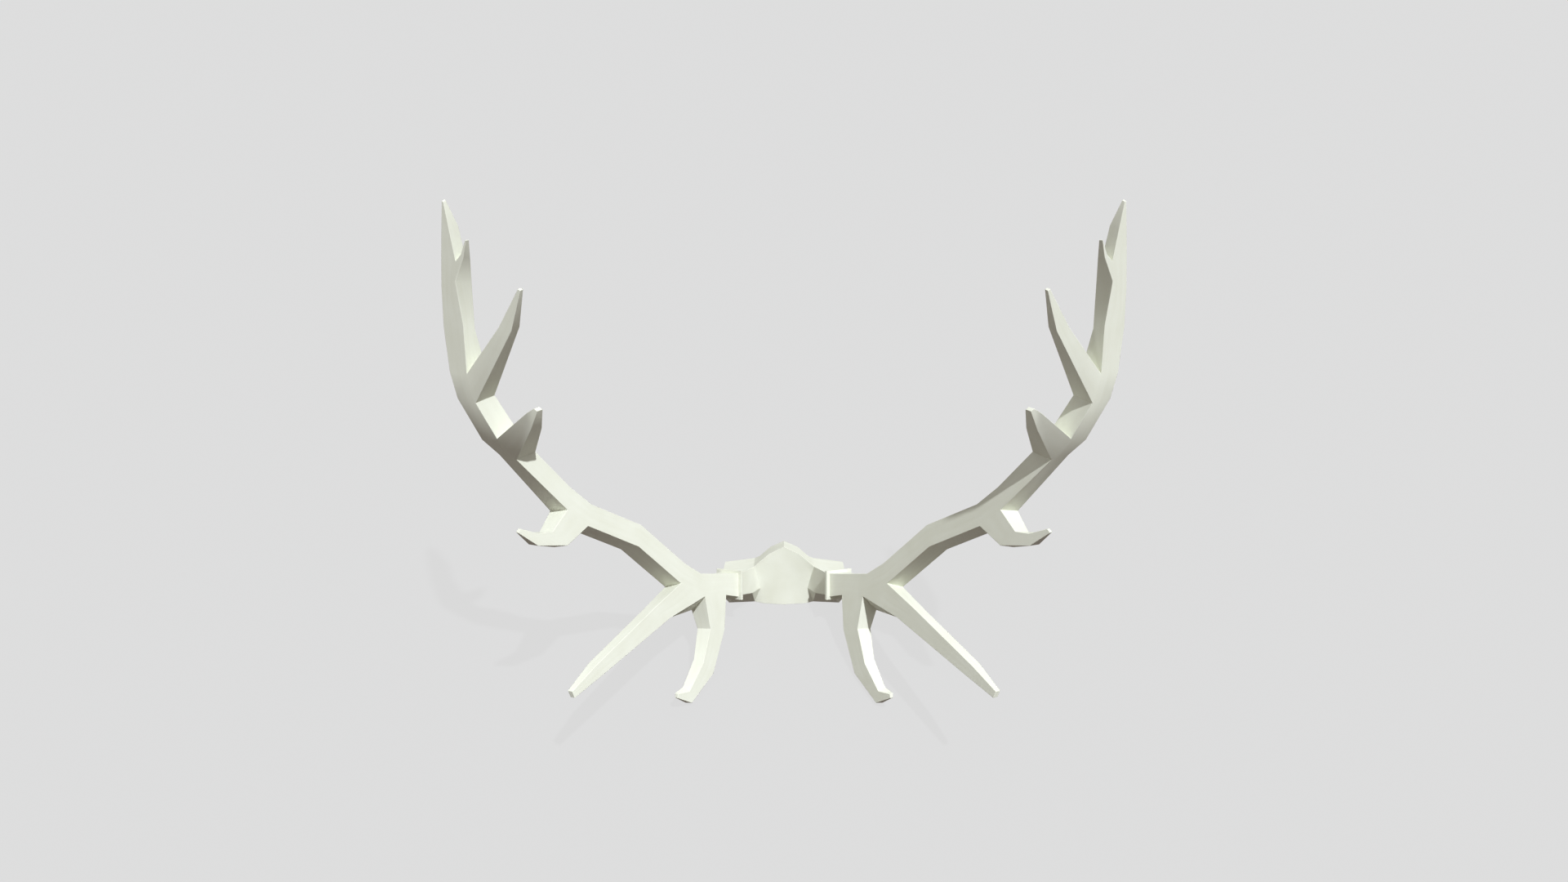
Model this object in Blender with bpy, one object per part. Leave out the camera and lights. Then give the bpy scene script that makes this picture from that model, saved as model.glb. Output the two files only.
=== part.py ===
"""Pair of seven-point deer antlers still joined to the piece of skull they grew from.

The pair stands on a table: the flat saw cut under the skull plate and the bends
of the two brow tines touch the table top. Metres, +Z up, the face looks along -Y,
and the origin is on the table, in the middle of the saw cut.

Everything is drawn for the right antler and mirrored for the left. An antler is
drawn in flat sheets. The front corners of its lower half lie in one sheet, those of
its upper half in another and the royal tine's in a small third one, and the back
corners lie behind them. The sheets are set in the head's own frame, in which the
face looks level. The
saw cut slopes up at 33.5 degrees in that frame, so each antler hangs on an empty at
its burr that is tipped by that slope. Each piece has its origin where it starts.
Design values are measured in the head's frame from a point between the two pedicles.
The saw cut starts 40 mm behind that point.
"""

from math import cos, radians, sin
from typing import NamedTuple

import bmesh
import bpy
from mathutils import Matrix, Vector

MM = 0.001
GAP = 0.3                  # mm, the seam left between two pieces that grew together
SAW_CUT_SLOPE = 33.5       # degrees between the saw cut and the level of the face
SAW_CUT_EDGE = 8           # mm of bone left standing around the back of the cut
SAW_CUT_MIDDLE = 88        # mm from the cut's front edge back to its middle
SAW_CUT_FRONT = Vector((0, 40, -6))          # mm in the head frame, its front edge

BURR_CENTRE = Vector((96.4, -21.7, 39.5))    # mm in the head frame: out, back, up
BURR_FACING = 37           # degrees that the antler's foot turns out from the face
BURR_SIZE = (57, 51)       # mm across and up, the crown of bone around the foot
BURR_SHIFT = 1.5           # mm, the burr stands out a little more on its far side
BURR_THICKNESS = 5         # mm
FOOT_SIZE = 41             # mm, the square foot of the beam on its burr
PEDICLE_SIZE = 37          # mm, the square stump of skull behind the burr

BONE_COLOUR = (0.80, 0.82, 0.72, 1.0)
BONE_ROUGHNESS = 0.62

MERGE = 0.0001             # m, the mirrored halves of the skull plate join within this

for old in list(bpy.data.objects):
    bpy.data.objects.remove(old, do_unlink=True)


# ---------------------------------------------------------------- sheets

class Sheet(NamedTuple):
    """A flat sheet: a foot point, the way it faces and its two directions."""

    foot: Vector
    facing: Vector
    out: Vector
    up: Vector

    def point(self, out_up, deep=0.0):
        """Give the point at (out, up) mm in the sheet and deep mm behind it."""
        across, height = out_up
        return self.foot + self.out * across + self.up * height - self.facing * deep


def sheet(foot, turned_out, leaned_up):
    """Make a sheet that faces turned_out degrees from straight ahead."""
    turn = radians(turned_out)
    lean = radians(leaned_up)
    facing = Vector((sin(turn) * cos(lean), -cos(turn) * cos(lean), sin(lean)))
    out = Vector((cos(turn), sin(turn), 0.0))
    return Sheet(Vector(foot), facing, out, facing.cross(out))


LOWER_SHEET = sheet((80, -34, 19), -55, 7)
UPPER_SHEET = sheet((421, -447, 344), 30, -13)
ROYAL_SHEET = sheet((397, -428, 295), 17, -21)


class Station(NamedTuple):
    """One four-cornered section: two front corners in a sheet and two behind them.

    first and second are (out, up) in mm. deep is how far back the section goes.
    The slips shift the two back corners within the sheet where they do not lie
    straight behind the front ones.
    """

    first: tuple
    second: tuple
    deep: float
    slip_first: tuple = (0, 0)
    slip_second: tuple = None


def section(flat, station):
    """Give a station's corners: first, second, behind the second, behind the first."""
    slip_first = Vector(station.slip_first)
    slip_second = slip_first if station.slip_second is None else Vector(station.slip_second)
    back_first = Vector(station.first) + slip_first
    back_second = Vector(station.second) + slip_second
    return [
        flat.point(station.first),
        flat.point(station.second),
        flat.point(back_second, station.deep),
        flat.point(back_first, station.deep),
    ]


# ---------------------------------------------------------------- the antler's stations

# The beam in the lower sheet: first is its near edge and second its top edge.
LOWER_BEAM = [
    Station((33, 7), (27.5, 43.5), 39),
    Station((90, 11.5), (94.5, 50.5), 37, (-5, -22.5), (0, 0)),
    Station((148.5, 40), (134, 71.5), 36, (-0.5, -4.5)),
    Station((240, 107.5), (230.5, 141.5), 36, (4, -1.5)),
    Station((345.5, 147), (335.5, 179.5), 36, (1, -3)),
    Station((384.5, 173.5), (375.5, 207), 35, (2, 1.5)),
    Station((472.5, 248.5), (436.5, 260), 35, (0.5, 11.5), (0, 11.5)),
    Station((504.5, 278.5), (464.5, 288), 35, (-3, 3)),
]

# The beam in the upper sheet: first is its inner edge and second its outer edge.
UPPER_BEAM = [
    Station((0, 0), (33, 7.5), 31.5, (-6, 5)),
    Station((7, 41), (39, 44.5), 31, (-5.5, 6.5)),
    Station((-2, 106.5), (35.5, 107.5), 28, (8.5, -7.5)),
    Station((-1, 165.5), (26.5, 160.5), 26, (-3.5, -3.5)),
    Station((-8, 192), (16, 204), 23.5, (4, 2)),
    Station((-6, 231), (8, 235.5), 15, (-2.5, 6.5)),
    Station((-4, 269.5), (-1.5, 271), 4.5, (-0.5, 2)),
]

# Tines that hang from the lower beam's near edge, out to their tips.
BROW_TINE = [
    Station((46.5, -50.5), (84, -43.5), 24, (5.5, 1.5)),
    Station((87, -117.5), (111.5, -97.5), 20, (0, 0), (-0.5, 8)),
    Station((148.5, -154.5), (151.5, -135), 14, (0, 0), (0, 7)),
    Station((182.5, -140), (180, -134), 6, (-1, 0.5), (1, 1.5)),
]
BEZ_TINE = [
    Station((179.5, -11.5), (216, 9), 24, (1, 9), (3, -2.5)),
    Station((337.5, -73), (356, -59.5), 14, (0, 4.5)),
    Station((401.5, -97), (405.5, -87), 8, (1, 1.5)),
]
TREZ_TINE = [
    Station((389.5, 121.5), (416.5, 144), 24, (5.5, -0.5)),
    Station((446, 125.5), (442, 142.5), 16, (3.5, 3.5)),
    Station((481, 146.5), (475.5, 151.5), 5, (-0.5, 1.5)),
]

# Tines that rise from the beam's inner side: the royal in its own sheet, two in the upper.
ROYAL_TINE = [
    Station((-55.5, 13), (-54.5, 38), 19, (-6, -4.5)),
    Station((-71, 40), (-66.5, 44), 9, (-3.5, -0.5)),
]
FIFTH_TINE = [
    Station((-87, 94.5), (-65, 100), 16, (-0.5, 3.5)),
    Station((-113.5, 145), (-109.5, 147.5), 6.5, (0.5, 1.5)),
]
CROWN_TINE = [
    Station((-23.5, 195.5), (-19.5, 199.5), 15, (3.5, -4)),
    Station((-32, 216), (-31.5, 217.5), 5.5, (-1, 0)),
]

# Which two beam sections each tine grows between, and from which side of the beam.
FORKS = {
    "brow_tine": (LOWER_SHEET, BROW_TINE, 1, "near"),
    "bez_tine": (LOWER_SHEET, BEZ_TINE, 2, "near"),
    "trez_tine": (LOWER_SHEET, TREZ_TINE, 5, "near"),
    "royal_tine": (ROYAL_SHEET, ROYAL_TINE, 7, "inner"),
    "fifth_tine": (UPPER_SHEET, FIFTH_TINE, 9, "inner"),
    "crown_tine": (UPPER_SHEET, CROWN_TINE, 12, "inner"),
}

# The beam is split above each group of forks: its pieces' first and last sections.
BEAM_PIECES = {
    "beam_base": (0, 3),
    "lower_beam": (3, 6),
    "middle_beam": (6, 10),
    "upper_beam": (10, 15),
}


# ---------------------------------------------------------------- the head on the table

TIP = Matrix.Rotation(radians(-SAW_CUT_SLOPE), 3, "X")
TABLE_UP = TIP.inverted() @ Vector((0.0, 0.0, 1.0))    # straight up, in the head frame


def burr_square(width, height, forward, shift=0.0):
    """Give a rectangle on the burr: near low, near high, far high and far low."""
    turn = radians(BURR_FACING)
    across = Vector((cos(turn), sin(turn), 0.0))
    along = Vector((sin(turn), -cos(turn), 0.0))
    up = Vector((0.0, 0.0, 1.0))
    middle = BURR_CENTRE + along * forward + across * shift
    corners = [(-1, -1), (-1, 1), (1, 1), (1, -1)]
    return [middle + across * (a * width / 2) + up * (b * height / 2) for a, b in corners]


def beam_sections():
    """Give every section of the beam as near, top, far and under corners."""
    sections = [burr_square(FOOT_SIZE, FOOT_SIZE, GAP)]
    sections += [section(LOWER_SHEET, station) for station in LOWER_BEAM]
    for station in UPPER_BEAM:
        near, under, far, top = section(UPPER_SHEET, station)
        sections.append([near, top, far, under])
    return sections


def rest_brow(corners):
    """Lower the brow tine's back corner at its bend until it meets the table."""
    under = corners[3]
    height = (under - SAW_CUT_FRONT).dot(TABLE_UP)
    fall = LOWER_SHEET.up.dot(TABLE_UP)
    corners[3] = under - LOWER_SHEET.up * (height / fall)
    return corners


def moved(corners, shift):
    """Give a section's corners, all moved by the same shift."""
    return [corner + shift for corner in corners]


def centre(corners):
    """Give the middle of a section."""
    return sum(corners, Vector()) / len(corners)


# ---------------------------------------------------------------- bodies

def bone_material(name):
    """Make the pale, dry bone finish of one piece."""
    material = bpy.data.materials.new(name)
    material.use_nodes = True
    shader = material.node_tree.nodes["Principled BSDF"]
    shader.inputs["Base Color"].default_value = BONE_COLOUR
    shader.inputs["Roughness"].default_value = BONE_ROUGHNESS
    shader.inputs["Metallic"].default_value = 0.0
    return material


def add_empty(name, parent, place):
    """Add an empty, to carry the pieces that are placed together."""
    empty = bpy.data.objects.new(name, None)
    bpy.context.collection.objects.link(empty)
    empty.parent = parent
    empty.location = place * MM
    return empty


def add_body(name, work):
    """Turn a finished bmesh into a named object with its own bone material."""
    mesh = bpy.data.meshes.new(name)
    work.to_mesh(mesh)
    work.free()
    mesh.materials.append(bone_material(name + "_bone"))
    body = bpy.data.objects.new(name, mesh)
    bpy.context.collection.objects.link(body)
    return body


def close_end(work, ring):
    """Close a bar's end with two triangles, both starting at the first corner."""
    work.faces.new((ring[0], ring[1], ring[2]))
    work.faces.new((ring[0], ring[2], ring[3]))


def bridge(work, low, high):
    """Join two four-cornered rings, each side cut in two along a diagonal.

    The cut runs from a side's first corner on the low ring to its second corner on
    the high one, so a tine's root can repeat the cut of the side that it sits on.
    """
    for corner in range(4):
        following = (corner + 1) % 4
        work.faces.new((low[corner], high[corner], high[following]))
        work.faces.new((low[corner], high[following], low[following]))


def add_bar(antler, name, sections):
    """Add a bar that runs through its sections, with its origin at its first end."""
    side, empty = antler
    mirror = Matrix.Diagonal((side, 1, 1))
    start = centre(sections[0])
    work = bmesh.new()
    rings = []
    for corners in sections:
        rings.append([work.verts.new(mirror @ (corner - start) * MM) for corner in corners])
    for low, high in zip(rings, rings[1:]):
        bridge(work, low, high)
    close_end(work, rings[0])
    close_end(work, rings[-1])
    bmesh.ops.recalc_face_normals(work, faces=work.faces)
    body = add_body(name, work)
    body.parent = empty
    body.location = mirror @ (start - BURR_CENTRE) * MM


# ---------------------------------------------------------------- the antler's pieces

def add_antler(pair, side_name, side):
    """Add one antler on its empty: side is 1 for the right one and -1 for the left."""
    burr_place = Matrix.Diagonal((side, 1, 1)) @ TIP @ (BURR_CENTRE - SAW_CUT_FRONT)
    empty = add_empty(f"{side_name}_antler", pair, burr_place)
    empty.rotation_euler.x = radians(-SAW_CUT_SLOPE)
    antler = (side, empty)
    add_burr(antler, f"{side_name}_burr")
    for piece, span in BEAM_PIECES.items():
        add_beam(antler, f"{side_name}_{piece}", span)
    for tine, fork in FORKS.items():
        add_tine(antler, f"{side_name}_{tine}", fork)


def add_burr(antler, name):
    """Add the burr, the thin square crown of bone around the antler's foot."""
    width, height = BURR_SIZE
    back = burr_square(width, height, -BURR_THICKNESS, BURR_SHIFT)
    front = burr_square(width, height, 0, BURR_SHIFT)
    add_bar(antler, name, [back, front])


def add_beam(antler, name, span):
    """Add one piece of the beam, stopped short of the next one by the seam."""
    start, stop = span
    sections = beam_sections()
    corners = sections[start:stop + 1]
    if stop < len(sections) - 1:
        back = (centre(corners[-2]) - centre(corners[-1])).normalized() * GAP
        corners[-1] = moved(corners[-1], back)
    add_bar(antler, name, corners)


def add_tine(antler, name, fork):
    """Add one tine, from the beam's side between two sections out to its tip."""
    flat, stations, low, beam_side = fork
    sections = beam_sections()
    other = {"near": 3, "inner": 1}[beam_side]
    root = [sections[low][0], sections[low + 1][0],
            sections[low + 1][other], sections[low][other]]
    outer = [section(flat, station) for station in stations]
    if stations is BROW_TINE:
        outer[1] = rest_brow(outer[1])
    facing = (root[2] - root[0]).cross(root[3] - root[1]).normalized()
    if facing.dot(centre(outer[0]) - centre(root)) < 0:
        facing = -facing
    bar = [moved(root, facing * GAP)] + outer
    if beam_side == "near":
        # The beam cuts this side along the other diagonal, so the corners turn by one.
        bar = [corners[1:] + corners[:1] for corners in bar]
    add_bar(antler, name, bar)


# ---------------------------------------------------------------- the skull plate

# Its corners, in mm on the table: out from the middle, back, up.
# f: the brow ridge, from the middle out. m: the middle of the forehead.
# c: the crease between the forehead and the pedicle, from the top down.
# s: the front edge of the saw cut, from the middle out.
# b: its side and back edge, from the side round to the middle.
SKULL_POINTS = {
    "f0": (0, 46.5, 97.5), "f1": (26.5, 40.5, 86.5), "f2": (48.5, 32, 70),
    "m0": (0, 26, 46),
    "c1": (54.5, 27, 67.5), "c2": (49, 23.5, 49.5), "c3": (43, 15, 27), "c4": (57, -5, 32.5),
    "s0": (0, 0, 0), "s1": (38, 3.5, 0), "s2": (53.5, 8.5, 0),
    "s3": (68.5, 7.5, 0), "s4": (100.5, 5.5, 0), "s5": (105.5, 13.5, 0),
    "b0": (112.5, 90, 0), "b1": (112, 111.5, 0), "b2": (56, 123, 0),
    "b3": (46.5, 129, 0), "b4": (27, 156, 0), "b5": (0, 175, 0),
}

# r0 to r5 lie straight above b0 to b5, at the back edge of the roof. The pedicle's
# end is p1 (near low), p2 (near high), p3 (far high), p4 (far low).
SKULL_FACES = (
    "s0 s1 s2 s3 s4 s5 b0 b1 b2 b3 b4 b5",
    "f0 f1 m0", "f1 f2 c1", "f1 c1 c2", "f1 c2 m0", "m0 c2 c3", "m0 c3 s1", "m0 s1 s0",
    "c1 p2 p1", "c1 p1 c2", "c2 p1 c4", "c2 c4 c3", "c3 c4 s2", "c3 s2 s1", "c4 s3 s2",
    "p1 s4 c4", "c4 s4 s3", "p1 p4 s5", "p1 s5 s4", "p4 p3 r0", "p4 r0 b0", "p4 b0 s5",
    "p1 p2 p3 p4",
    "p2 c1 r2", "p2 r2 r1", "p2 r1 p3", "p3 r1 r0",
    "f0 r5 r4", "f0 r4 f1", "f1 r4 r3", "f1 r3 f2", "f2 r3 r2", "f2 r2 c1",
    "r5 r4 b4 b5", "r4 r3 b3 b4", "r3 r2 b2 b3", "r2 r1 b1 b2", "r1 r0 b0 b1",
)


def add_skull_plate(pair):
    """Add the skull plate: its right half, and a Mirror modifier for the left."""
    places = {name: Vector(place) for name, place in SKULL_POINTS.items()}
    for number in range(6):
        places[f"r{number}"] = places[f"b{number}"] + Vector((0, 0, SAW_CUT_EDGE))
    end = burr_square(PEDICLE_SIZE, PEDICLE_SIZE, -BURR_THICKNESS - GAP)
    for number, corner in enumerate(end, 1):
        places[f"p{number}"] = TIP @ (corner - SAW_CUT_FRONT)

    work = bmesh.new()
    corners = {name: work.verts.new(place * MM) for name, place in places.items()}
    for face in SKULL_FACES:
        work.faces.new([corners[name] for name in face.split()])
    bmesh.ops.recalc_face_normals(work, faces=work.faces)
    body = add_body("skull_plate", work)
    body.parent = pair
    mirror = body.modifiers.new("other_half", "MIRROR")
    mirror.merge_threshold = MERGE


def build():
    """Add the skull plate and both antlers, with the origin in the saw cut's middle."""
    pair = add_empty("antler_pair", None, Vector((0, -SAW_CUT_MIDDLE, 0)))
    add_skull_plate(pair)
    add_antler(pair, "right", 1)
    add_antler(pair, "left", -1)


build()
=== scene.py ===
# %% [markdown]
# # A pair of deer antlers on their piece of skull
#
# Antlers are bone that grows out of a deer's forehead. This pair was sawn off together
# with the plate of skull between them, and it stands on a table on that flat cut and on
# the bends of its two lowest tines. It is drawn in flat facets, so the look rests on three
# things: crisp section edges, soft shading along each side, and dry pale bone.
#
# The solids of the same object are loaded first. They fix its size and its place.

import bmesh
import bpy
import numpy as np
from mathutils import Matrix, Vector


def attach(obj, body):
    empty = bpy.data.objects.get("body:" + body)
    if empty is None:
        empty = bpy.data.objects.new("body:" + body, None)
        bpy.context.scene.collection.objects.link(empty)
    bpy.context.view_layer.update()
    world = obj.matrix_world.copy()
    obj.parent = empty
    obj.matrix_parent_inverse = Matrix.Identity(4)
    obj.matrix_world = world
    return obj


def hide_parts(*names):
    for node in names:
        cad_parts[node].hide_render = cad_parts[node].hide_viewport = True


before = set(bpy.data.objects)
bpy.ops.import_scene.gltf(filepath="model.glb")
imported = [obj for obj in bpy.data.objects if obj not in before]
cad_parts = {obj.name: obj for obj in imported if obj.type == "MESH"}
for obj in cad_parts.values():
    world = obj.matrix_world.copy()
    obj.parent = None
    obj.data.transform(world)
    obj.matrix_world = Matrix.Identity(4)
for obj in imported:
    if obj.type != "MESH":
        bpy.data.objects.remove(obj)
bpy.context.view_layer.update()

MM = 0.001

# %% [markdown]
# ## The sheets that an antler is drawn in
#
# A curved antler is hard to draw in space, and easy on paper. Its front corners lie in flat
# sheets: one for the lower half, one for the upper half and a small one for the royal tine,
# which stands out from both. A sheet is a foot point and three directions: the way it faces,
# out and up. Everything is drawn in millimetres in the head's own frame, in which the face
# looks level, and set down on the table later.

# %% Sheets
def sheet(foot, turned_out, leaned_up):
    """Give a sheet's foot, facing, out and up. Out turns with the sheet and stays level,
    and up is facing times out."""
    turn, lean = np.radians([turned_out, leaned_up])
    facing = np.array([np.sin(turn) * np.cos(lean), -np.cos(turn) * np.cos(lean), np.sin(lean)])
    out = np.array([np.cos(turn), np.sin(turn), 0.0])
    return np.array(foot, float), facing, out, np.cross(facing, out)


LOWER_SHEET = sheet((80, -34, 19), -55, 7)
UPPER_SHEET = sheet((421, -447, 344), 30, -13)
ROYAL_SHEET = sheet((397, -428, 295), 17, -21)
for flat in (LOWER_SHEET, UPPER_SHEET, ROYAL_SHEET):
    print("a sheet faces", flat[1].round(2))

# %% [markdown]
# ## Four-cornered sections
#
# A real beam is nearly round. This one is nearly square, so four corners say all there is
# about a section. Two front corners lie in the sheet and two lie behind them. One row of a
# table is one section, and numpy works out all the rows at once.

# %% Sections
def sections(flat, rows):
    """Turn rows of numbers into rings of four corners.

    A row holds the first front corner, the second one, the depth behind the sheet and the
    slips of the two back corners. A corner is the foot, plus out times its first number,
    plus up times its second, less facing times its depth. Each ring runs first, second,
    behind the second, behind the first.
    """
    foot, facing, out, up = flat
    rows = np.array(rows, float)
    front = rows[:, :4].reshape(-1, 2, 2)
    back = (front + rows[:, 5:].reshape(-1, 2, 2))[:, ::-1]
    drawn = np.concatenate([front, back], axis=1)
    deep = rows[:, 4, None, None] * np.array([0, 0, 1, 1])[:, None]
    return foot + drawn[..., :1] * out + drawn[..., 1:] * up - deep * facing


# first corner, second corner, depth, slip behind the first, slip behind the second
LOWER_BEAM = sections(LOWER_SHEET, [
    (33, 7, 27.5, 43.5, 39, 0, 0, 0, 0),
    (90, 11.5, 94.5, 50.5, 37, -5, -22.5, 0, 0),
    (148.5, 40, 134, 71.5, 36, -0.5, -4.5, -0.5, -4.5),
    (240, 107.5, 230.5, 141.5, 36, 4, -1.5, 4, -1.5),
    (345.5, 147, 335.5, 179.5, 36, 1, -3, 1, -3),
    (384.5, 173.5, 375.5, 207, 35, 2, 1.5, 2, 1.5),
    (472.5, 248.5, 436.5, 260, 35, 0.5, 11.5, 0, 11.5),
    (504.5, 278.5, 464.5, 288, 35, -3, 3, -3, 3),
])
UPPER_BEAM = sections(UPPER_SHEET, [
    (0, 0, 33, 7.5, 31.5, -6, 5, -6, 5),
    (7, 41, 39, 44.5, 31, -5.5, 6.5, -5.5, 6.5),
    (-2, 106.5, 35.5, 107.5, 28, 8.5, -7.5, 8.5, -7.5),
    (-1, 165.5, 26.5, 160.5, 26, -3.5, -3.5, -3.5, -3.5),
    (-8, 192, 16, 204, 23.5, 4, 2, 4, 2),
    (-6, 231, 8, 235.5, 15, -2.5, 6.5, -2.5, 6.5),
    (-4, 269.5, -1.5, 271, 4.5, -0.5, 2, -0.5, 2),
])
print("sections in the beam's two tables:", len(LOWER_BEAM), "and", len(UPPER_BEAM))

# %% [markdown]
# ## The tines
#
# Seven points to each antler: six tines and the tip of the beam. Three tines hang from the
# beam's near side in the lower sheet, and three rise from its inner side. Each starts on the
# beam between two neighbouring sections. FORKS gives each tine's table, the number of the
# first of those two sections and the side of the beam that it grows from.

# %% Tines
BROW_TINE = sections(LOWER_SHEET, [
    (46.5, -50.5, 84, -43.5, 24, 5.5, 1.5, 5.5, 1.5),
    (87, -117.5, 111.5, -97.5, 20, 0, 0, -0.5, 8),
    (148.5, -154.5, 151.5, -135, 14, 0, 0, 0, 7),
    (182.5, -140, 180, -134, 6, -1, 0.5, 1, 1.5),
])
BEZ_TINE = sections(LOWER_SHEET, [
    (179.5, -11.5, 216, 9, 24, 1, 9, 3, -2.5),
    (337.5, -73, 356, -59.5, 14, 0, 4.5, 0, 4.5),
    (401.5, -97, 405.5, -87, 8, 1, 1.5, 1, 1.5),
])
TREZ_TINE = sections(LOWER_SHEET, [
    (389.5, 121.5, 416.5, 144, 24, 5.5, -0.5, 5.5, -0.5),
    (446, 125.5, 442, 142.5, 16, 3.5, 3.5, 3.5, 3.5),
    (481, 146.5, 475.5, 151.5, 5, -0.5, 1.5, -0.5, 1.5),
])
ROYAL_TINE = sections(ROYAL_SHEET, [
    (-55.5, 13, -54.5, 38, 19, -6, -4.5, -6, -4.5),
    (-71, 40, -66.5, 44, 9, -3.5, -0.5, -3.5, -0.5),
])
FIFTH_TINE = sections(UPPER_SHEET, [
    (-87, 94.5, -65, 100, 16, -0.5, 3.5, -0.5, 3.5),
    (-113.5, 145, -109.5, 147.5, 6.5, 0.5, 1.5, 0.5, 1.5),
])
CROWN_TINE = sections(UPPER_SHEET, [
    (-23.5, 195.5, -19.5, 199.5, 15, 3.5, -4, 3.5, -4),
    (-32, 216, -31.5, 217.5, 5.5, -1, 0, -1, 0),
])
FORKS = [
    (BROW_TINE, 1, "near"), (BEZ_TINE, 2, "near"), (TREZ_TINE, 5, "near"),
    (ROYAL_TINE, 7, "inner"), (FIFTH_TINE, 9, "inner"), (CROWN_TINE, 12, "inner"),
]
print("tines on each antler:", len(FORKS))

# %% [markdown]
# ## From the head to the table
#
# The saw cut slopes up at 33.5 degrees through the head, so the whole head is tipped back
# by that angle when the cut lies flat on the table. The origin is in the middle of the cut.
#
# One corner of the brow tine's bend is lowered until it meets the table, as the solid's is.

# %% Head and table
SAW_CUT_SLOPE = np.radians(33.5)
CUT_FRONT = (0, 40, -6)    # mm, its front edge in the head's frame
CUT_MIDDLE = (0, 88, 0)    # mm, from the cut's front edge back to its middle
TIP_BACK = np.array([
    [1, 0, 0],
    [0, np.cos(SAW_CUT_SLOPE), np.sin(SAW_CUT_SLOPE)],
    [0, -np.sin(SAW_CUT_SLOPE), np.cos(SAW_CUT_SLOPE)],
])


def on_table(points):
    """Turn head points (mm) into table points (mm): tip them back about the cut's front
    edge, then shift them so that the middle of the saw cut is the origin."""
    return (points - np.array(CUT_FRONT)) @ TIP_BACK.T - CUT_MIDDLE


brow_bend = BROW_TINE[1]
under = 3                  # the bend's back corner on the near side
sheet_up = LOWER_SHEET[3]
fall = sheet_up @ TIP_BACK[2]
brow_bend[under] -= sheet_up * (on_table(brow_bend[under])[2] / fall)
print("the brow bend is now", abs(on_table(brow_bend[under])[2]).round(3), "mm above the table")

# %% [markdown]
# ## The antler's foot and its burr
#
# Around the foot of every antler runs a crown of knobbly bone, the burr. Here it is a thin,
# nearly square plate. It faces out and forward, so one turned direction places the burr, the
# foot of the beam and the end of the skull's stump behind it.

# %% Squares on the burr
BURR_CENTRE = np.array([96.4, -21.7, 39.5])
BURR_TURN = np.radians(37)
ACROSS = np.array([np.cos(BURR_TURN), np.sin(BURR_TURN), 0.0])
ALONG = np.array([np.sin(BURR_TURN), -np.cos(BURR_TURN), 0.0])
UP = np.array([0.0, 0.0, 1.0])


def burr_square(width, height, forward, shift=0.0):
    """Give a rectangle on the burr as near low, near high, far high and far low: its
    middle, plus or minus half the width across and half the height up."""
    middle = BURR_CENTRE + ALONG * forward + ACROSS * shift
    signs = np.array([(-1, -1), (-1, 1), (1, 1), (1, -1)])
    return middle + signs[:, :1] * ACROSS * width / 2 + signs[:, 1:] * UP * height / 2


FOOT_SIZE = 41             # mm, the square foot of the beam on its burr
FOOT_SINK = 1.5            # mm that bone grows into the burr, so that no seam shows
foot = burr_square(FOOT_SIZE, FOOT_SIZE, -FOOT_SINK)
upper = UPPER_BEAM[:, [0, 3, 2, 1]]    # near, top, far and under, as in the lower beam
BEAM = np.concatenate([foot[None], LOWER_BEAM, upper])
print("the beam's rings, with its foot:", len(BEAM))

# %% [markdown]
# ## A profile carried along a path
#
# A beam or a tine is one square profile carried from ring to ring. Its sides are the
# quads between two neighbouring rings. Where a tine grows, one quad of the beam is left out
# and the tine's first ring uses that quad's own corners, so the antler is one closed skin
# with no seam, as a grown bone is.
#
# Each side also gets its place on the skin as if that were unrolled flat, in metres around
# and along. A pattern drawn there runs along the bone. The rings hold corner numbers, not
# places, which keeps the joining to plain arrays.

# %% Quads between rings
def side_quads(rings):
    """Join each ring of corner numbers to the next: for every side, its low corner, the
    high one above it, the high one that follows and the low one that follows."""
    following = np.roll(rings, -1, axis=1)
    return np.stack([rings[:-1], rings[1:], following[1:], following[:-1]], axis=-1)


def path_lengths(places):
    """Measure along the middles of the rings, from the first one, in mm."""
    steps = np.linalg.norm(np.diff(places.mean(axis=1), axis=0), axis=1)
    return np.concatenate([[0.0], np.cumsum(steps)])


def side_lengths(places, start=0.0):
    """Give each quad's places on the unrolled skin: metres around, then metres along.

    Around is the side's number times the mean width of all sides, and along is the path
    length of the quad's ring, so a pattern drawn on these runs along the bone.
    """
    along = (path_lengths(places) + start) * MM
    width = np.linalg.norm(places - np.roll(places, -1, axis=1), axis=-1).mean() * MM
    spans, sides = len(places) - 1, places.shape[1]
    around = np.arange(sides) * width
    unrolled = np.zeros((spans, sides, 4, 2))
    unrolled[..., :2, 0] = around[None, :, None]
    unrolled[..., 2:, 0] = around[None, :, None] + width
    unrolled[..., [0, 3], 1] = along[:-1, None, None]
    unrolled[..., [1, 2], 1] = along[1:, None, None]
    return unrolled


print("beam along its middle:", round(path_lengths(BEAM)[-1]), "mm")

# %% [markdown]
# ## The whole antler as one skin
#
# The beam's rings come first, then each tine's. A tine on the near side takes the place of
# the beam's fourth side, and one on the inner side takes the place of the first. The inner
# ones run round the other way, so their quads are turned over, always about the same
# diagonal. One quad closes each end.

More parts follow.
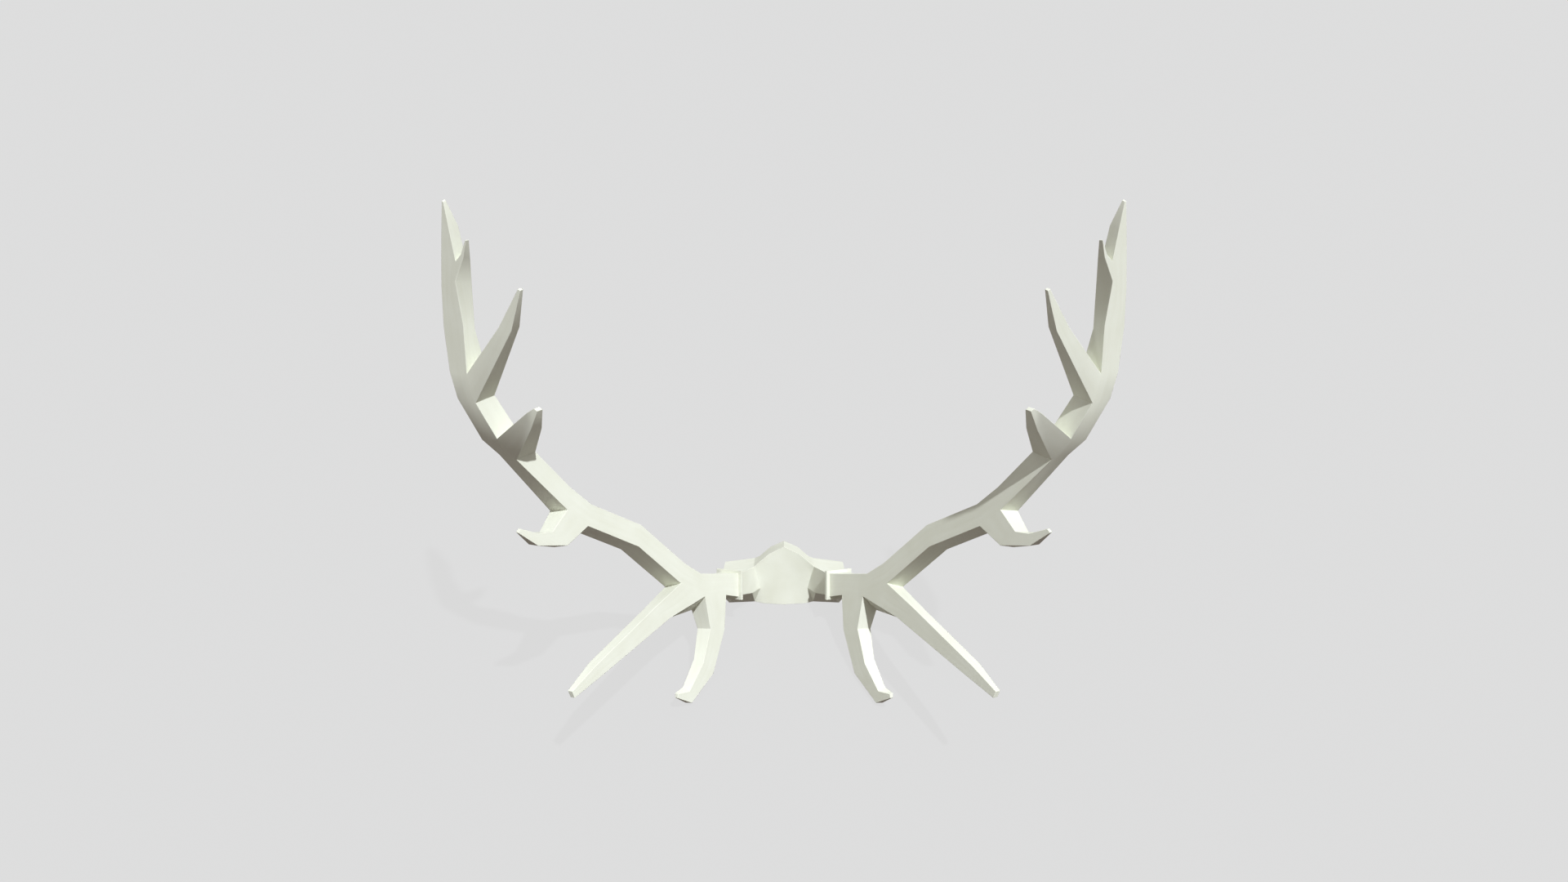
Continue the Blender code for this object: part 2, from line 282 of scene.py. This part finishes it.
# %% Antler skin
def antler_skin():
    """Work out the right antler: its corners, its quads and their unrolled places."""
    rings = np.arange(len(BEAM) * 4).reshape(-1, 4)
    quads = side_quads(rings)
    unrolled = side_lengths(BEAM)
    kept = np.ones(quads.shape[:2], bool)
    corners, faces, laid = [BEAM.reshape(-1, 3)], [], []
    count = rings.size
    for places, low, beam_side in FORKS:
        side, other = {"near": (3, 3), "inner": (0, 1)}[beam_side]
        kept[low, side] = False
        root = np.array([rings[low, 0], rings[low + 1, 0],
                         rings[low + 1, other], rings[low, other]])
        tine_rings = np.vstack([root, count + np.arange(places.size // 3).reshape(-1, 4)])
        tine_places = np.concatenate([corners[0][root][None], places])
        tine_quads = side_quads(tine_rings)
        tine_laid = side_lengths(tine_places, path_lengths(BEAM)[low])
        tip = tine_rings[-1, ::-1]
        if beam_side == "inner":
            tine_quads = tine_quads[..., [0, 3, 2, 1]]
            tine_laid = tine_laid[..., [0, 3, 2, 1], :]
            tip = tip[::-1]
        faces += [tine_quads.reshape(-1, 4), tip[None]]
        laid += [tine_laid.reshape(-1, 4, 2), tine_laid[-1, :1]]
        corners.append(places.reshape(-1, 3))
        count += places.size // 3
    faces = [quads[kept], rings[:1], rings[-1:, ::-1]] + faces
    laid = [unrolled[kept], unrolled[0, :1], unrolled[-1, :1]] + laid
    return np.vstack(corners), np.vstack(faces), np.vstack(laid)


antler_corners, antler_quads, antler_laid = antler_skin()
print("antler skin:", len(antler_corners), "corners and", len(antler_quads), "quads")

# %% [markdown]
# ## From arrays to a piece
#
# `from_pydata` and `foreach_set` hand whole arrays to Blender. A closed skin has a volume:
# the sum over its triangles of the corners' triple product, over six. If that is negative,
# the skin is inside out and every face is turned over.
#
# Two modifiers finish a piece. Bevel softens the crisp edges by less than a millimetre, as
# handling does, and marks its new narrow faces as weak. Weighted Normal then lets only the
# strong faces decide the shading, so a side stays flat across the bone and blends softly at
# the bends along it.

# %% Make a piece
def volume(corners, faces):
    """Give the signed volume: a sixth of the sum of a dot (b cross c) over triangles."""
    fans = [(face[0], face[k], face[k + 1]) for face in faces for k in range(1, len(face) - 1)]
    a, b, c = (corners[list(column)] for column in zip(*fans))
    return np.einsum("ij,ij->i", a, np.cross(b, c)).sum() / 6


def add_piece(name, corners, faces, laid=None):
    """Make an object from corners in metres, turned the right way out, with its places on
    the unrolled skin as a UV map where they are given."""
    faces = [tuple(int(number) for number in face) for face in faces]
    if volume(corners, faces) < 0:
        faces = [(face[0],) + face[:0:-1] for face in faces]
        laid = None if laid is None else np.concatenate([laid[:, :1], laid[:, :0:-1]], axis=1)
    mesh = bpy.data.meshes.new(name)
    mesh.from_pydata(corners.tolist(), [], faces)
    mesh.polygons.foreach_set("use_smooth", np.ones(len(faces), bool))
    if laid is not None:
        layer = mesh.uv_layers.new(name="unrolled")
        layer.data.foreach_set("uv", laid.ravel())
    mesh.update()
    piece = bpy.data.objects.new(name, mesh)
    bpy.context.scene.collection.objects.link(piece)
    return piece


def soften(piece, width, crease, soft=(), crisp=()):
    """Round the crisp edges by a width in mm, and shade what lies between them as one side.

    An edge is crisp if its two faces turn by more than the crease angle. The photograph
    shows a few edges otherwise: soft and crisp list those as pairs of corner numbers.
    """
    work = bmesh.new()
    work.from_mesh(piece.data)
    rounding = work.edges.layers.float.new("bevel_weight_edge")
    for edge in work.edges:
        ends = {corner.index for corner in edge.verts}
        turned = edge.calc_face_angle() > np.radians(crease)
        edge[rounding] = float((turned and ends not in soft) or ends in crisp)
    work.to_mesh(piece.data)
    work.free()
    bevel = piece.modifiers.new("soft_edges", "BEVEL")
    bevel.limit_method = "WEIGHT"
    bevel.width = width * MM
    bevel.segments = 2
    bevel.face_strength_mode = "FSTR_ALL"
    shading = piece.modifiers.new("one_shade_a_side", "WEIGHTED_NORMAL")
    shading.use_face_influence = True


ANTLER_NODES = ["beam_base", "lower_beam", "middle_beam", "upper_beam", "brow_tine",
                "bez_tine", "trez_tine", "royal_tine", "fifth_tine", "crown_tine"]
SIDES = {"right": 1, "left": -1}
ANTLER_ROUNDING = 0.7      # mm
ANTLER_CREASE = 45         # degrees
first_brow_corner = BEAM.size // 3     # the brow tine's corners follow the beam's
BROW_BEND = [{first_brow_corner + 1, first_brow_corner + 2}]
antlers = {}
for side_name, side in SIDES.items():
    places = on_table(antler_corners) * [side, 1, 1] * MM
    antler = add_piece(f"{side_name}_antler", places, antler_quads, antler_laid)
    soften(antler, ANTLER_ROUNDING, ANTLER_CREASE, crisp=BROW_BEND)
    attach(antler, "root")
    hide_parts(*[f"{side_name}_{node}" for node in ANTLER_NODES])
    antlers[side_name] = antler
    print(antler.name, "holds", round(abs(volume(places, antler_quads.tolist())) * 1e6), "cm3")

# %% [markdown]
# ## The burrs
#
# The burr is a thin plate that stands out a little all round the foot, and a little more on
# its far side. It is one span between two rings, closed at both ends. Its rim is rounded
# like the beam's edges.

# %% Burrs
BURR_SIZE = (57, 51)       # mm across and up
BURR_SHIFT = 1.5           # mm towards its far side
BURR_THICKNESS = 5.0       # mm
BURR_ROUNDING = 0.6        # mm
BURR_CREASE = 40           # degrees
burr_rings = np.stack([burr_square(*BURR_SIZE, forward, BURR_SHIFT)
                       for forward in (-BURR_THICKNESS, 0)])
burr_numbers = np.arange(8).reshape(2, 4)
burr_quads = np.vstack([side_quads(burr_numbers).reshape(-1, 4),
                        burr_numbers[:1], burr_numbers[1:, ::-1]])
burrs = {}
for side_name, side in SIDES.items():
    places = on_table(burr_rings.reshape(-1, 3)) * [side, 1, 1] * MM
    burr = add_piece(f"{side_name}_burr_crown", places, burr_quads)
    soften(burr, BURR_ROUNDING, BURR_CREASE)
    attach(burr, "root")
    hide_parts(f"{side_name}_burr")
    burrs[side_name] = burr
    print(burr.name, "is", BURR_SIZE, "mm across and up and", BURR_THICKNESS, "mm thick")

# %% [markdown]
# ## The skull plate
#
# Between the antlers is a piece of forehead: a domed front with a ridge along the top, a
# roof that falls away behind it, two square stumps that carry the antlers, and the flat saw
# cut below. It has no single path, so it is drawn as named corners, for its right half, and
# mirrored. Corners in the middle are shared by the two halves.

# %% Skull corners
# f: the ridge, from the middle out. m: the middle of the forehead. c: the crease down
# beside the stump. s: the front edge of the cut. b: its side and back edge. r: the roof's
# edge, straight above b. p: the end of the stump. All in mm on the table, as out, back
# from the cut's front edge, and up.
SKULL = {
    "f0": (0, 46.5, 97.5), "f1": (26.5, 40.5, 86.5), "f2": (48.5, 32, 70), "m0": (0, 26, 46),
    "c1": (54.5, 27, 67.5), "c2": (49, 23.5, 49.5), "c3": (43, 15, 27), "c4": (57, -5, 32.5),
    "s0": (0, 0, 0), "s1": (38, 3.5, 0), "s2": (53.5, 8.5, 0),
    "s3": (68.5, 7.5, 0), "s4": (100.5, 5.5, 0), "s5": (105.5, 13.5, 0),
    "b0": (112.5, 90, 0), "b1": (112, 111.5, 0), "b2": (56, 123, 0),
    "b3": (46.5, 129, 0), "b4": (27, 156, 0), "b5": (0, 175, 0),
}
CUT_EDGE = 8               # mm of bone left standing around the back of the cut
STUMP_SIZE = 37            # mm, the square stump behind the burr
for number in range(6):
    out, back, _ = SKULL[f"b{number}"]
    SKULL[f"r{number}"] = (out, back, CUT_EDGE)
stump = burr_square(STUMP_SIZE, STUMP_SIZE, FOOT_SINK - BURR_THICKNESS)
for number, corner in enumerate(on_table(stump) + CUT_MIDDLE, 1):
    SKULL[f"p{number}"] = tuple(corner)
SKULL_FACES = (
    "f0 f1 m0", "f1 f2 c1", "f1 c1 c2", "f1 c2 m0", "m0 c2 c3", "m0 c3 s1", "m0 s1 s0",
    "c1 p2 p1", "c1 p1 c2", "c2 p1 c4", "c2 c4 c3", "c3 c4 s2", "c3 s2 s1", "c4 s3 s2",
    "p1 s4 c4", "c4 s4 s3", "p1 p4 s5", "p1 s5 s4", "p4 p3 r0", "p4 r0 b0", "p4 b0 s5",
    "p4 p3 p2 p1",
    "p2 c1 r2", "p2 r2 r1", "p2 r1 p3", "p3 r1 r0",
    "f0 r5 r4", "f0 r4 f1", "f1 r4 r3", "f1 r3 f2", "f2 r3 r2", "f2 r2 c1",
    "r5 r4 b4 b5", "r4 r3 b3 b4", "r3 r2 b2 b3", "r2 r1 b1 b2", "r1 r0 b0 b1",
)
CUT_OUTLINE = "s0 s1 s2 s3 s4 s5 b0 b1 b2 b3 b4 b5"
print("skull corners on one half:", len(SKULL))

# %% [markdown]
# A Mirror modifier could make the left half. Here its corners are mirrored as an array, so
# that the saw cut can be one face right across: down one half's outline and back up the
# other's. The forehead is shaded as one smooth dome, so the edges within it are soft.

# %% Skull plate
names = list(SKULL)
right_half = np.array([SKULL[name] for name in names], float)
outer = np.flatnonzero(right_half[:, 0] > 0)
left_number = np.arange(len(names))
left_number[outer] = len(names) + np.arange(len(outer))
skull_corners = np.vstack([right_half, right_half[outer] * [-1, 1, 1]])
skull_corners = (skull_corners - CUT_MIDDLE) * MM


def numbered(face):
    """Look up the corner numbers of a face that is written as names."""
    return [names.index(name) for name in face.split()]


right_faces = [numbered(face) for face in SKULL_FACES]
left_faces = [[int(left_number[number]) for number in face[::-1]] for face in right_faces]
outline = numbered(CUT_OUTLINE)
cut = outline + [int(left_number[number]) for number in outline[-2:0:-1]]
skull = add_piece("skull_cap", skull_corners, right_faces + left_faces + [cut])
work = bmesh.new()
work.from_mesh(skull.data)
bmesh.ops.recalc_face_normals(work, faces=work.faces)
work.to_mesh(skull.data)
work.free()

SKULL_ROUNDING = 0.6       # mm
SKULL_CREASE = 24          # degrees
FOREHEAD = "f0-m0 f1-m0 m0-c2 m0-c3 m0-s1 m0-s0 c3-s1"
brow_lines = [numbered(line.replace("-", " ")) for line in FOREHEAD.split()]
brow_lines += [[int(left_number[number]) for number in line] for line in brow_lines]
soften(skull, SKULL_ROUNDING, SKULL_CREASE, soft=[set(line) for line in brow_lines])
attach(skull, "root")
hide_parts("skull_plate")
print("skull cap:", len(skull.data.polygons), "faces")

# %% [markdown]
# ## Dry bone
#
# The bone is matte and pale ivory with a faint green in it. Close up it isn't even: there
# are broad cloudy patches, streaks that run along the antler, and pores. Each is a noise
# texture at its real size, so it is given as how many of its features fit in a metre. A
# painted picture could show all this too, but noise stays sharp however near one looks. A
# few small helpers add the nodes and join them, and the sky's blend uses them again.

# %% Node helpers
def noise(tree, vector, scale, detail):
    """Add a Noise texture that reads a vector, and give its value."""
    texture = tree.nodes.new("ShaderNodeTexNoise")
    texture.inputs["Scale"].default_value = scale
    texture.inputs["Detail"].default_value = detail
    tree.links.new(vector, texture.inputs["Vector"])
    return texture.outputs["Fac"]


def spread(tree, value, taken, given=(0, 1)):
    """Stretch a value so that the range taken becomes the range given, and clamp it."""
    stretched = tree.nodes.new("ShaderNodeMapRange")
    ends = ("From Min", "From Max", "To Min", "To Max")
    for end, number in zip(ends, taken + given):
        stretched.inputs[end].default_value = number
    tree.links.new(value, stretched.inputs["Value"])
    return stretched.outputs["Result"]


def blend_values(tree, share, first, second):
    """Give first times (1 less share) plus second times share."""
    mixed = tree.nodes.new("ShaderNodeMix")
    mixed.inputs["Factor"].default_value = share
    tree.links.new(first, mixed.inputs["A"])
    tree.links.new(second, mixed.inputs["B"])
    return mixed.outputs["Result"]


def blend_colours(tree, share, first, second):
    """Give the first colour where the share is 0 and the second where it is 1."""
    mixed = tree.nodes.new("ShaderNodeMix")
    mixed.data_type = "RGBA"
    colours = {socket.name: socket for socket in mixed.inputs if socket.type == "RGBA"}
    colours["A"].default_value = (*first, 1)
    colours["B"].default_value = (*second, 1)
    tree.links.new(share, mixed.inputs["Factor"])
    return next(socket for socket in mixed.outputs if socket.type == "RGBA")


print("node helpers: noise, spread, blend_values, blend_colours")

# %% [markdown]
# The antler's streaks follow its unrolled skin, and the clouds and pores need only Object
# coordinates. Everything is kept faint, because from a step away the photograph shows plain
# bone. The pores are pits, so they are a little rougher than the smooth bone between them.

# %% Bone finish
DARK_BONE = (0.760, 0.775, 0.665)
PALE_BONE = (0.825, 0.845, 0.750)
BONE_GLOSS = 0.25          # half the usual reflection, for dry bone
CLOUDS = (24, 3)           # features in a metre, and how many finer sizes are added
PORES = (650, 2)
STREAKS = (170, 10, 1)     # features in a metre around the bone, and along it
STREAK_DETAIL = 1
PORE_SHARE = 0.3           # of the surface, and the rest is streaks or clouds
NOISE_RANGE = (0.3, 0.7)   # most of a noise texture's values lie between these
ROUGH_TO_SMOOTH = (0.78, 0.62)


def bone_finish(name, streaked, grain_height):
    """Make a bone material. Its surface is streaks (or clouds) and pores. Its tone is half
    clouds and half surface, and its bump is the surface, grain_height mm high."""
    material = bpy.data.materials.new(name)
    material.use_nodes = True
    tree = material.node_tree
    shader = tree.nodes["Principled BSDF"]
    shader.inputs["Specular IOR Level"].default_value = BONE_GLOSS
    place = tree.nodes.new("ShaderNodeTexCoord").outputs["Object"]
    clouds = noise(tree, place, *CLOUDS)
    pores = noise(tree, place, *PORES)
    grain = clouds
    if streaked:
        unrolled = tree.nodes.new("ShaderNodeUVMap")
        unrolled.uv_map = "unrolled"
        stretch = tree.nodes.new("ShaderNodeMapping")
        stretch.inputs["Scale"].default_value = STREAKS
        tree.links.new(unrolled.outputs["UV"], stretch.inputs["Vector"])
        grain = noise(tree, stretch.outputs["Vector"], 1, STREAK_DETAIL)
    surface = blend_values(tree, PORE_SHARE, grain, pores)
    paleness = spread(tree, blend_values(tree, 0.5, clouds, surface), NOISE_RANGE)
    tone = blend_colours(tree, paleness, DARK_BONE, PALE_BONE)
    roughness = spread(tree, pores, NOISE_RANGE, ROUGH_TO_SMOOTH)
    tree.links.new(tone, shader.inputs["Base Color"])
    tree.links.new(roughness, shader.inputs["Roughness"])
    bump = tree.nodes.new("ShaderNodeBump")
    bump.inputs["Strength"].default_value = 1.0
    bump.inputs["Distance"].default_value = grain_height * MM
    tree.links.new(surface, bump.inputs["Height"])
    tree.links.new(bump.outputs["Normal"], shader.inputs["Normal"])
    return material


antler_bone = bone_finish("antler_bone", streaked=True, grain_height=0.015)
burr_bone = bone_finish("burr_bone", streaked=False, grain_height=0.08)
skull_bone = bone_finish("skull_bone", streaked=False, grain_height=0.03)
for side_name in SIDES:
    antlers[side_name].data.materials.append(antler_bone)
    burrs[side_name].data.materials.append(burr_bone)
skull.data.materials.append(skull_bone)
print("finishes:", antler_bone.name, burr_bone.name, skull_bone.name)

# %% [markdown]
# ## The table
#
# A plain pale floor. A white plane would do, but its shadows would be much darker than
# anything on the photograph's plain ground. So most of this floor's tone is its own glow,
# which keeps the antlers' shadows on it faint, and it lights nothing above it.

# %% Floor
FLOOR_TONE = 0.723
FLOOR_GLOW = 0.95          # the share of the tone that shadows can't darken
FLOOR_PAINT = 0.029        # the little that the lamp lights
FLOOR_REACH = 30           # m from the middle to each side
FLOOR_DROP = 0.0002        # m below the cut, so that the two don't flicker


def grey(tone):
    """Give a grey of that tone as red, green, blue and 1."""
    return (tone, tone, tone, 1)


floor_mesh = bpy.data.meshes.new("floor")
corners = np.array([(-1, -1), (1, -1), (1, 1), (-1, 1)]) * FLOOR_REACH
floor_mesh.from_pydata([(x, y, -FLOOR_DROP) for x, y in corners], [], [(0, 1, 2, 3)])
floor = bpy.data.objects.new("floor", floor_mesh)
bpy.context.scene.collection.objects.link(floor)
paint = bpy.data.materials.new("floor_paint")
paint.use_nodes = True
shader = paint.node_tree.nodes["Principled BSDF"]
shader.inputs["Base Color"].default_value = grey(FLOOR_PAINT)
shader.inputs["Roughness"].default_value = 1.0
shader.inputs["Specular IOR Level"].default_value = 0.0
shader.inputs["Emission Color"].default_value = grey(FLOOR_TONE)
shader.inputs["Emission Strength"].default_value = FLOOR_GLOW
floor_mesh.materials.append(paint)
floor.visible_diffuse = False
floor.visible_glossy = False
floor.visible_shadow = False
print("floor:", 2 * FLOOR_REACH, "m across")

# %% [markdown]
# ## Fill light
#
# A pale sky and a dim brown ground give the soft fill, with a short blend between them. The
# photograph's up is the head's up, and the head is tipped back by the saw cut's slope, so
# the sky is tipped with it. The camera itself sees the floor's tone behind the floor, so
# that no horizon shows from the sides.

# %% Fill light
SKY = (0.480, 0.470, 0.452)
GROUND = (0.186, 0.160, 0.148)
HORIZON = (-0.05, 0.05)    # the blend, in heights on a ball of radius 1
world = bpy.data.worlds.new("studio")
bpy.context.scene.world = world
world.use_nodes = True
tree = world.node_tree
fill = tree.nodes["Background"]
height = tree.nodes.new("ShaderNodeVectorMath")
height.operation = "DOT_PRODUCT"
height.inputs[1].default_value = TIP_BACK @ UP
tree.links.new(tree.nodes.new("ShaderNodeTexCoord").outputs["Generated"], height.inputs[0])
above = spread(tree, height.outputs["Value"], HORIZON)
tree.links.new(blend_colours(tree, above, GROUND, SKY), fill.inputs["Color"])

backdrop = tree.nodes.new("ShaderNodeBackground")
backdrop.inputs["Color"].default_value = grey(FLOOR_TONE)
seen = tree.nodes.new("ShaderNodeMixShader")
tree.links.new(tree.nodes.new("ShaderNodeLightPath").outputs["Is Camera Ray"], seen.inputs[0])
tree.links.new(fill.outputs["Background"], seen.inputs[1])
tree.links.new(backdrop.outputs["Background"], seen.inputs[2])
tree.links.new(seen.outputs["Shader"], tree.nodes["World Output"].inputs["Surface"])
print("the sky's up is", (TIP_BACK @ UP).round(3))

# %% [markdown]
# ## Key light
#
# One lamp from the upper right and front is the key, small enough for crisp shadows. It is
# a sun lamp, whose light has one direction everywhere, so a facet's tone comes from its
# slope alone. The direction is given in the head's frame, as the sheets are: how far the
# lamp stands to the right of straight ahead, and how high.

# %% Key light
KEY_TURN, KEY_RISE = np.radians([20, 36])
KEY_STRENGTH = 3.42
KEY_TINT = (0.935, 0.966, 1.0)
KEY_SIZE = np.radians(1.5)             # across, about three times the sun
key_from = TIP_BACK @ [np.sin(KEY_TURN) * np.cos(KEY_RISE),
                       -np.cos(KEY_TURN) * np.cos(KEY_RISE), np.sin(KEY_RISE)]
key = bpy.data.lights.new("key", "SUN")
key.energy = KEY_STRENGTH
key.color = KEY_TINT
key.angle = KEY_SIZE
key_lamp = bpy.data.objects.new("key", key)
bpy.context.scene.collection.objects.link(key_lamp)
key_lamp.rotation_mode = "QUATERNION"
key_lamp.rotation_quaternion = Vector(key_from).to_track_quat("Z", "Y")
print("the key shines from", key_from.round(3))

# %% [markdown]
# ## Camera
#
# The camera looks level at the face, so it looks down at the table by the saw cut's slope.
# Its place, in the head's frame, and its lens come from the photograph's perspective.

# %% Camera
CAMERA_PLACE = (0, -1900, 292.3)       # mm in the head's frame
CAMERA_LENS = 24.44                    # mm, for a picture 36 mm wide
camera_data = bpy.data.cameras.new("camera")
camera_data.sensor_width = 36
camera_data.lens = CAMERA_LENS
camera = bpy.data.objects.new("camera", camera_data)
camera.location = on_table(np.array(CAMERA_PLACE)) * MM
camera.rotation_euler = (np.radians(90) - SAW_CUT_SLOPE, 0, 0)
bpy.context.scene.collection.objects.link(camera)
bpy.context.scene.camera = camera
bpy.context.scene.view_settings.view_transform = "Standard"
print("the camera is at", np.round(camera.location, 4))

# %% [markdown]
# ## Finish
#
# The view layer is brought up to date, so every piece stands where it was placed. The
# dressed model has to stay inside the solids' box.

# %% Finish
bpy.context.view_layer.update()
